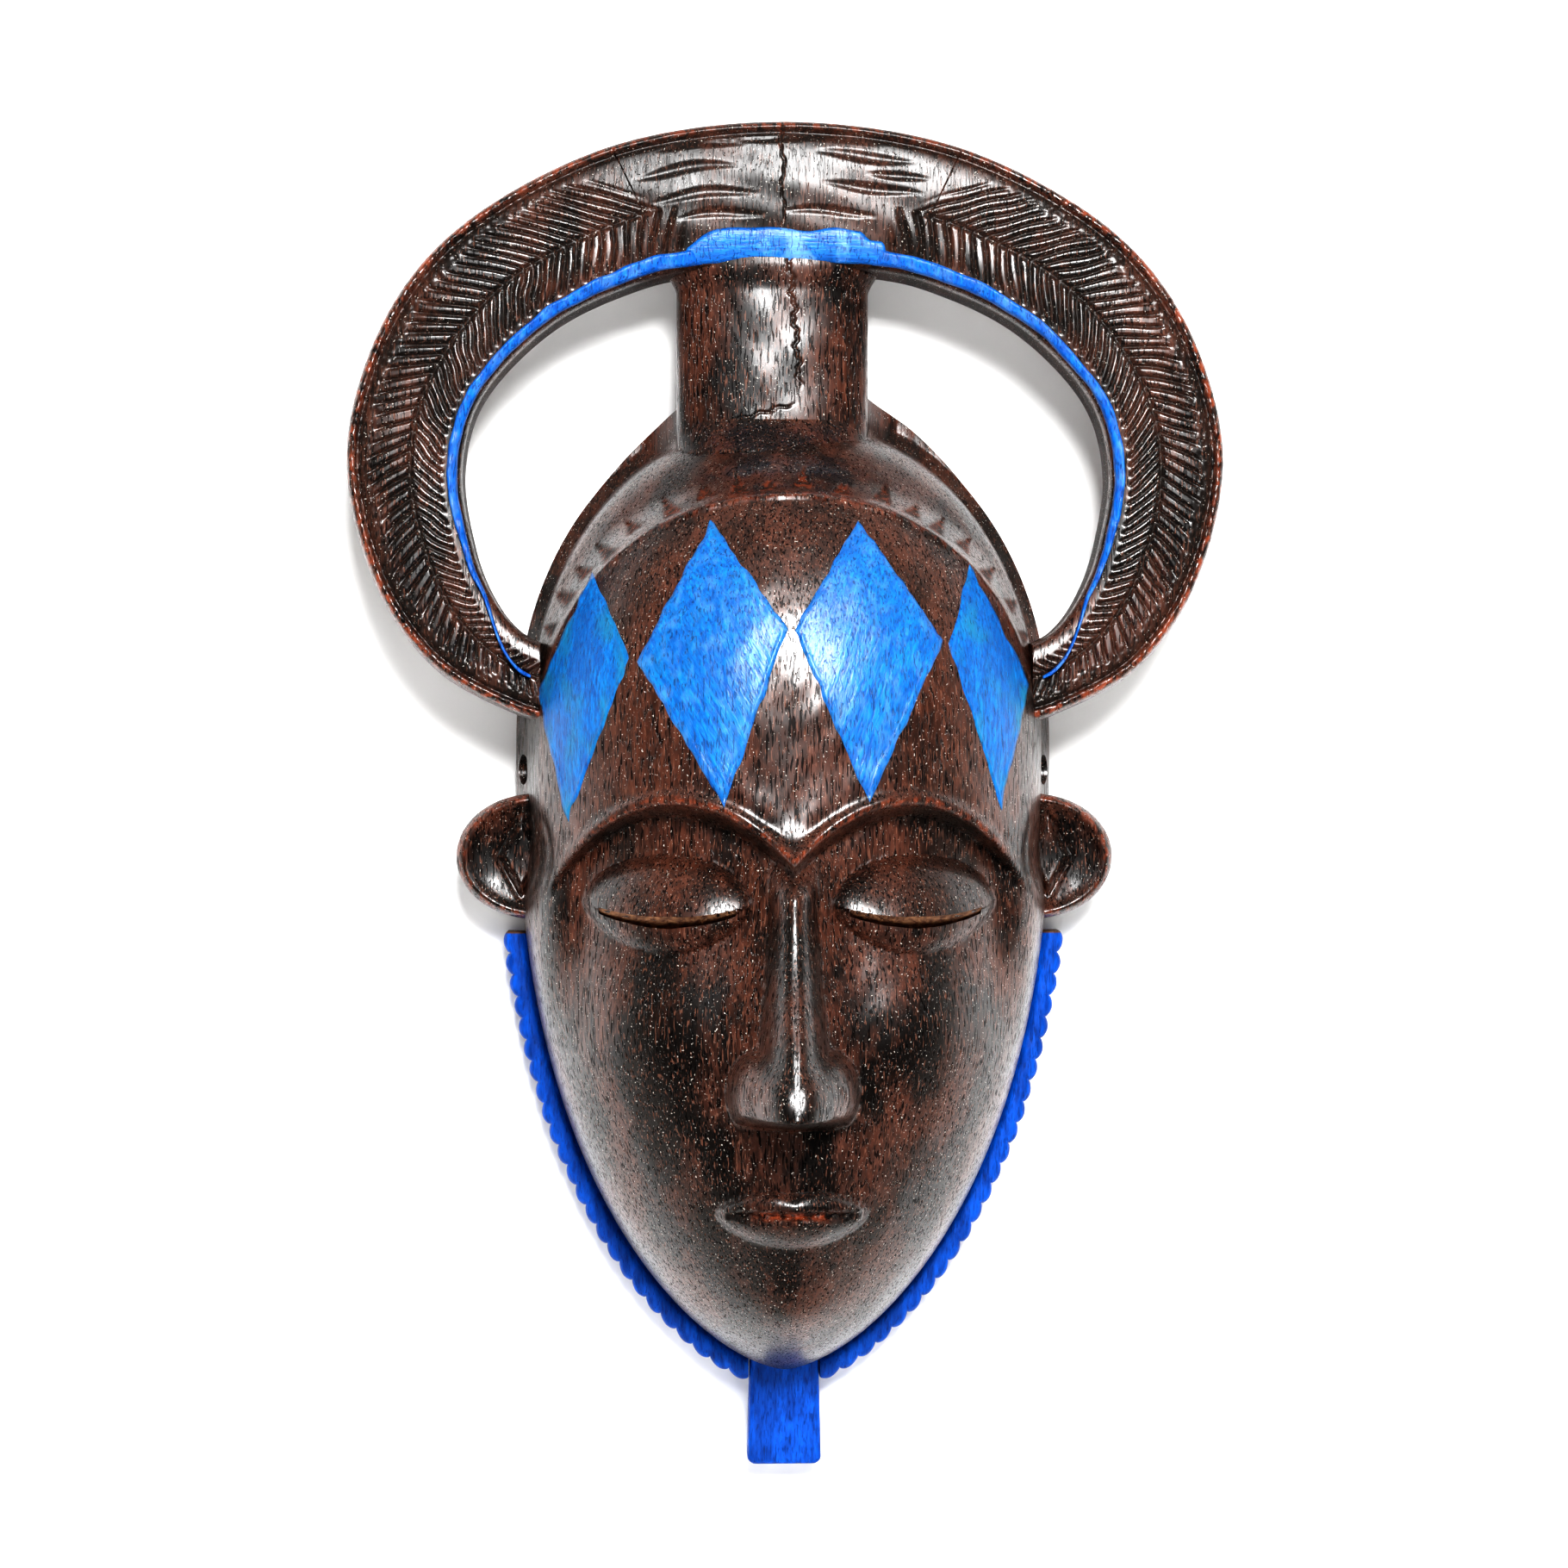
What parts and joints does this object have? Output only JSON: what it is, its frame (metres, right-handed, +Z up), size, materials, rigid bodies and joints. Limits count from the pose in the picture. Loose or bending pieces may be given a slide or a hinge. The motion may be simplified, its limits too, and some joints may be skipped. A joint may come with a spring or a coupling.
{
  "type": "carved wooden mask",
  "caption": "Hollow carved wooden wall mask: dark egg-shaped face under a ring crest on a post, with ears, a scalloped blue beard with a tab, and blue painted lozenges.",
  "frame": {"origin": "on the flat back rim of the head, on the centre line just above the hollow, where the mask rests against the wall", "axes": "+Z up along the mask's height, +Y out of the flat back into the wall, so the face looks along -Y; +X is the viewer's right"},
  "size_m": [0.227, 0.1009, 0.351],
  "materials": {
    "shell_wood": "gloss varnish on near-black stain",
    "post_wood": "gloss varnish on near-black stain",
    "bridge_wood": "gloss varnish on near-black stain",
    "horn_wood": "gloss varnish on near-black stain",
    "ear_wood": "gloss varnish on near-black stain",
    "bead_paint": "brushed bright blue paint on wood",
    "beard_paint": "brushed cobalt blue paint on wood",
    "lozenge_paint": "brushed azure paint on wood, half glossy"
  },
  "bodies": {
    "root": {"mask_shell": "shell_wood", "crest_post": "post_wood", "crest_bridge": "bridge_wood", "left_horn": "horn_wood", "right_horn": "horn_wood", "bridge_band": "bead_paint", "left_horn_bead": "bead_paint", "right_horn_bead": "bead_paint", "left_ear": "ear_wood", "right_ear": "ear_wood", "left_beard": "beard_paint", "right_beard": "beard_paint", "beard_tab": "beard_paint", "lozenge_far_left": "lozenge_paint", "lozenge_left": "lozenge_paint", "lozenge_right": "lozenge_paint", "lozenge_far_right": "lozenge_paint"}
  },
  "joints": []
}
